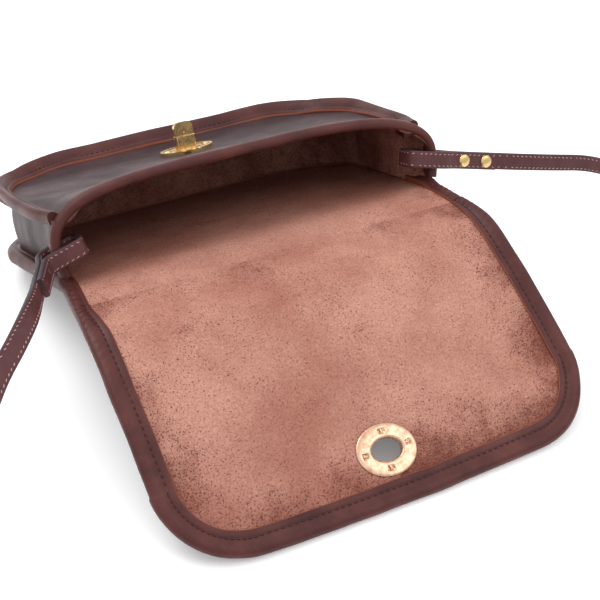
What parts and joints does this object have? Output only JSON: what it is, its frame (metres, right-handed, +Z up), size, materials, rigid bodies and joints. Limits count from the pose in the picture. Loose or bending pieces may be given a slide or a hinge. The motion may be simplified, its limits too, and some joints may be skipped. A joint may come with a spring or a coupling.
{
  "type": "crossbody purse",
  "caption": "Flat leather crossbody purse lying open, with bound edges, a turn lock under its flap and a narrow riveted strap.",
  "frame": {"origin": "on the surface it lies on, under the middle of the open bag without its strap", "axes": "+X to the bag's right, +Y from the flap's end to the bag's bottom seam, +Z up"},
  "size_m": [0.47, 0.4628, 0.0974],
  "materials": {
    "panel_leather": "grained outside, suede inside",
    "flap_leather": "suede inside",
    "binding_leather": "smooth, soft sheen",
    "strap_leather": "smooth, stitched",
    "brass": "polished, lightly worn",
    "pale_brass": "polished, pale",
    "steel": "plain"
  },
  "bodies": {
    "bag_body": {"back_panel": "panel_leather", "front_panel": "panel_leather", "gusset": "panel_leather", "front_seam_binding": "binding_leather", "back_seam_binding": "binding_leather", "mouth_binding": "binding_leather", "lock_base_plate": "brass", "lock_back_washer": "brass", "lock_rivets": "brass", "lock_post": "brass", "strap_end_right": "strap_leather", "strap_rivets_right": "brass", "strap_rivet_caps_right": "brass", "strap_end_left": "strap_leather", "strap_rivets_left": "brass", "strap_rivet_caps_left": "brass", "strap_run": "strap_leather"},
    "turnlock_knob": {"lock_stem": "brass", "lock_retaining_ring": "steel", "lock_tab": "brass", "lock_tab_pin": "brass"},
    "flap_top": {"spine_panel": "flap_leather", "spine_binding_left": "binding_leather", "spine_binding_right": "binding_leather"},
    "flap_front": {"flap_panel": "flap_leather", "flap_binding": "binding_leather", "eyelet_face_plate": "pale_brass", "eyelet_backing_plate": "pale_brass"}
  },
  "joints": [
    {"name": "flap_top_fold", "type": "hinge", "parent": "bag_body", "child": "flap_top", "pos_m": [0, 0.00472, 0.05733], "axis": [-1, 0, 0], "range_deg": [0, 104.4]},
    {"name": "flap_front_fold", "type": "hinge", "parent": "flap_top", "child": "flap_front", "pos_m": [0, -0.04088, 0.06333], "axis": [-1, 0, 0], "range_deg": [0, 131.9]},
    {"name": "turnlock_turn", "type": "hinge", "parent": "bag_body", "child": "turnlock_knob", "pos_m": [0, 0.10759, 0.05111], "axis": [0, 0.373, 0.9278], "range_deg": [0, 90]}
  ]
}
